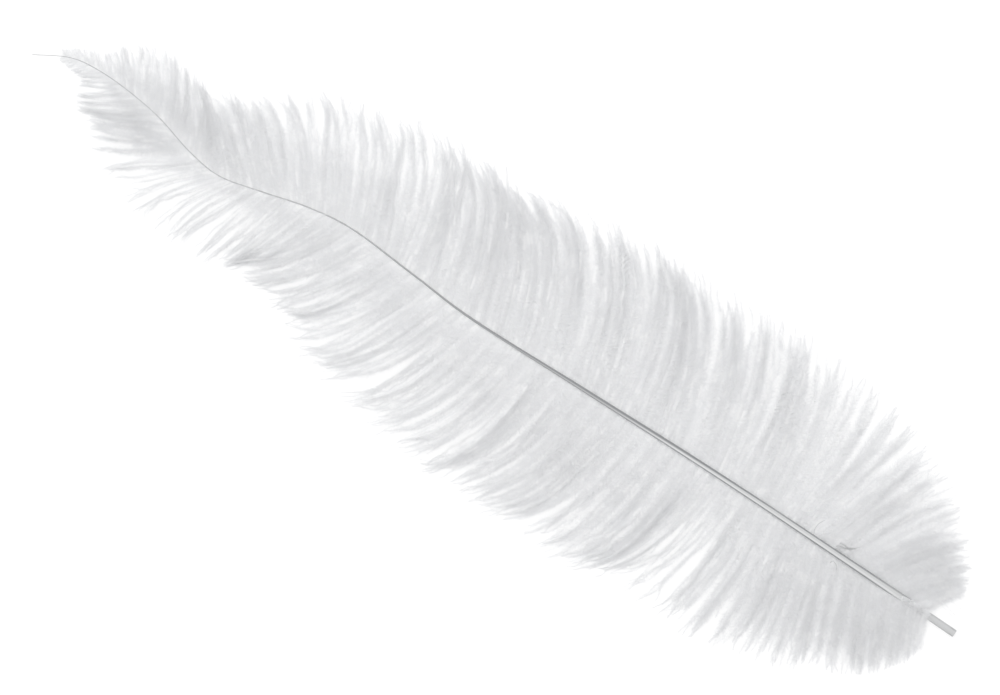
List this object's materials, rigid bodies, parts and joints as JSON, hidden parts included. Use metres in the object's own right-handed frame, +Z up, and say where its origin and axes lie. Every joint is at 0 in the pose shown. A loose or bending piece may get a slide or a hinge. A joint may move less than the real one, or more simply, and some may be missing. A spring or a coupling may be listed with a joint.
{
  "type": "ostrich feather",
  "caption": "Loose white ostrich plume lying flat: a curved tapering shaft with a bare quill stub, and two full vanes of long soft barbs gathered in locks.",
  "frame": {"origin": "middle of the box round the whole plume, on the surface that it lies on", "axes": "+X from the bare tip to the cut end of the quill, +Z up from the surface, +Y across the vanes to the longer-barbed side"},
  "size_m": [0.4004, 0.1164, 0.0138],
  "materials": {
    "barbs": "matt white down, faintly cool, fine streaks along the barbs",
    "shaft": "pale satin horn, a little see-through, darker at its sides"
  },
  "bodies": {
    "root": {"ostrich_feather": "barbs"}
  },
  "joints": []
}
